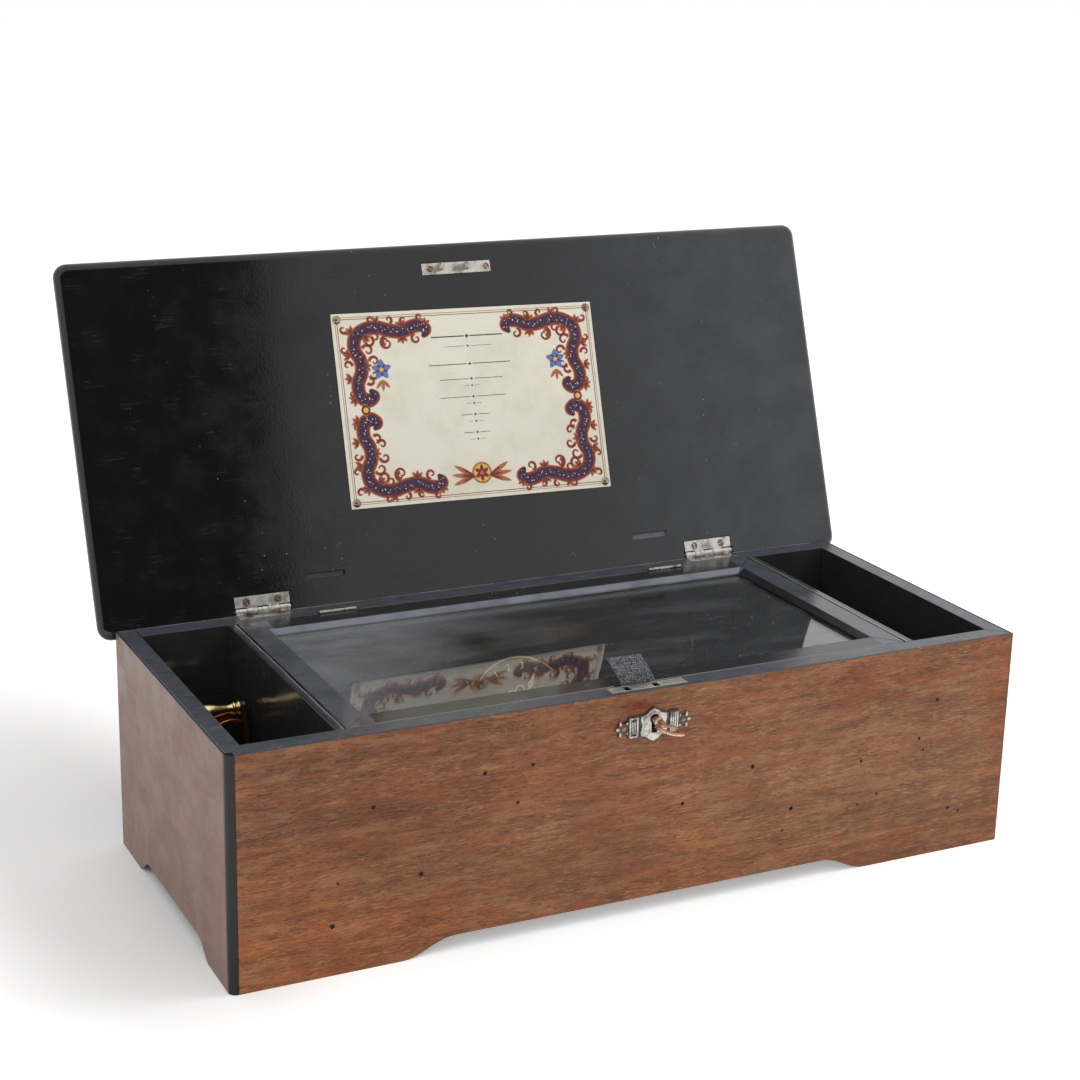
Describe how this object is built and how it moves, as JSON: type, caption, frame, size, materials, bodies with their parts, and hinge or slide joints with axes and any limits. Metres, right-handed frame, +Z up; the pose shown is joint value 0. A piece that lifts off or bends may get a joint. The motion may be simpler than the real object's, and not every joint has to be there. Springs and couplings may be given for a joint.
{
  "type": "music box",
  "caption": "Cylinder music box in a walnut and black case: lifting lid, inner glass lid over comb and pinned cylinder, winding lever, tune dial, lock and key.",
  "frame": {"origin": "middle of the bounding box's base, with the lid open and the key in the lock", "axes": "+X to the right along the front, +Y to the back, +Z up"},
  "size_m": [0.56, 0.3486, 0.3714],
  "materials": {
    "walnut": "figured walnut veneer, polished",
    "black_lacquer": "black lacquer on wood, glossy",
    "pine": "plain softwood",
    "nickel": "aged nickel plate",
    "brass": "aged brass",
    "copper": "copper-coloured, worn",
    "steel": "polished steel",
    "dial_metal": "dark olive enamel",
    "card": "printed card, cream",
    "leather": "dark pebbled leather",
    "glass": "clear window glass"
  },
  "bodies": {
    "case": {"case_front": "black_lacquer", "case_back": "black_lacquer", "case_left_end": "black_lacquer", "case_right_end": "black_lacquer", "corner_string": "black_lacquer", "left_partition": "black_lacquer", "right_partition": "black_lacquer", "front_veneer": "walnut", "left_end_veneer": "walnut", "right_end_veneer": "walnut", "case_floor": "pine", "lock_plate": "nickel", "escutcheon": "nickel", "left_hinge_case_leaf": "nickel", "right_hinge_case_leaf": "nickel", "lock_case": "steel", "comb": "steel", "left_glass_hinge_case_leaf": "brass", "right_glass_hinge_case_leaf": "brass", "bedplate": "brass", "barrel_bracket": "brass", "left_bridge": "brass", "right_bridge": "brass", "governor_frame": "brass", "comb_base": "brass", "dial_post": "brass", "tune_dial": "dial_metal"},
    "lid": {"lid_panel": "black_lacquer", "lid_veneer": "walnut", "tune_card": "card", "keeper_plate": "nickel", "left_hinge_lid_leaf": "nickel", "right_hinge_lid_leaf": "nickel"},
    "glass_lid": {"frame_front_rail": "black_lacquer", "frame_back_rail": "black_lacquer", "frame_left_rail": "black_lacquer", "frame_right_rail": "black_lacquer", "glass_bead": "black_lacquer", "glass_pane": "glass", "pull_tab": "leather", "left_glass_hinge_frame_leaf": "brass", "right_glass_hinge_frame_leaf": "brass"},
    "key": {"key": "copper"},
    "bolt": {"lock_bolt": "brass"},
    "winding": {"winding_arbor": "steel", "winding_lever": "nickel", "lever_grip": "brass", "lever_strap": "copper"},
    "barrel": {"spring_barrel": "brass", "great_wheel": "brass", "mainspring": "steel"},
    "click": {"ratchet_click": "steel"},
    "cylinder_arbor": {"cylinder_arbor": "steel", "cylinder_wheel": "brass"},
    "cylinder": {"cylinder": "brass"},
    "governor": {"governor_wheel": "brass"},
    "fly": {"fly_screw": "steel"},
    "start_lever": {"start_lever": "nickel"},
    "change_lever": {"change_lever": "nickel"},
    "pointer": {"tune_pointer": "brass"}
  },
  "joints": [
    {"name": "lid_hinge", "type": "hinge", "parent": "case", "child": "lid", "pos_m": [0, 0.08466, 0.1495], "axis": [-1, 0, 0], "range_deg": [-110, 0], "deforming": ["pull_tab"]},
    {"name": "glass_lid_hinge", "type": "hinge", "parent": "case", "child": "glass_lid", "pos_m": [0, 0.06686, 0.1486], "axis": [-1, 0, 0], "range_deg": [0, 105]},
    {"name": "bolt_slide", "type": "slide", "parent": "case", "child": "bolt", "axis": [-1, 0, 0], "range_m": [0, 0.005]},
    {"name": "key_turn", "type": "hinge", "parent": "case", "child": "key", "pos_m": [0, -0.13454, 0.13], "axis": [0, 1, 0], "range_deg": [0, 150]},
    {"name": "cylinder_spin", "type": "hinge", "parent": "case", "child": "cylinder_arbor", "pos_m": [0, -0.01675, 0.06017], "axis": [1, 0, 0], "continuous": true},
    {"name": "cylinder_shift", "type": "slide", "parent": "cylinder_arbor", "child": "cylinder", "axis": [1, 0, 0], "range_m": [-0.0015, 0]},
    {"name": "barrel_spin", "type": "hinge", "parent": "case", "child": "barrel", "pos_m": [0, 0.01296, 0.056], "axis": [1, 0, 0], "continuous": true},
    {"name": "governor_spin", "type": "hinge", "parent": "case", "child": "governor", "pos_m": [0, 0.01296, 0.056], "axis": [1, 0, 0], "continuous": true},
    {"name": "fly_spin", "type": "hinge", "parent": "case", "child": "fly", "pos_m": [0.12925, 0.03096, 0.06], "axis": [0, 0, 1], "continuous": true},
    {"name": "winding_turn", "type": "hinge", "parent": "case", "child": "winding", "pos_m": [0, 0.01296, 0.056], "axis": [1, 0, 0], "range_deg": [-15, 75]},
    {"name": "click_lift", "type": "hinge", "parent": "case", "child": "click", "pos_m": [0, -0.00751, 0.04934], "axis": [1, 0, 0], "range_deg": [0, 12], "stiffness_Nm_per_rad": 0.05, "springref_deg": -11.46},
    {"name": "start_lever_turn", "type": "hinge", "parent": "case", "child": "start_lever", "pos_m": [0, 0.05566, 0.062], "axis": [1, 0, 0], "range_deg": [0, 20]},
    {"name": "change_lever_turn", "type": "hinge", "parent": "case", "child": "change_lever", "pos_m": [0, -0.05234, 0.038], "axis": [1, 0, 0], "range_deg": [0, 20]},
    {"name": "pointer_turn", "type": "hinge", "parent": "case", "child": "pointer", "pos_m": [-0.024, -0.00864, 0.087], "axis": [0, -0.9397, 0.342], "range_deg": [0, 57]}
  ],
  "couplings": [
    {"joint": "key_turn", "follows": "bolt_slide", "rad_per_m": 523},
    {"joint": "barrel_spin", "follows": "cylinder_spin", "ratio": -0.33333},
    {"joint": "governor_spin", "follows": "cylinder_spin", "ratio": -3},
    {"joint": "fly_spin", "follows": "cylinder_spin", "ratio": 72},
    {"joint": "pointer_turn", "follows": "cylinder_shift", "rad_per_m": -660}
  ]
}
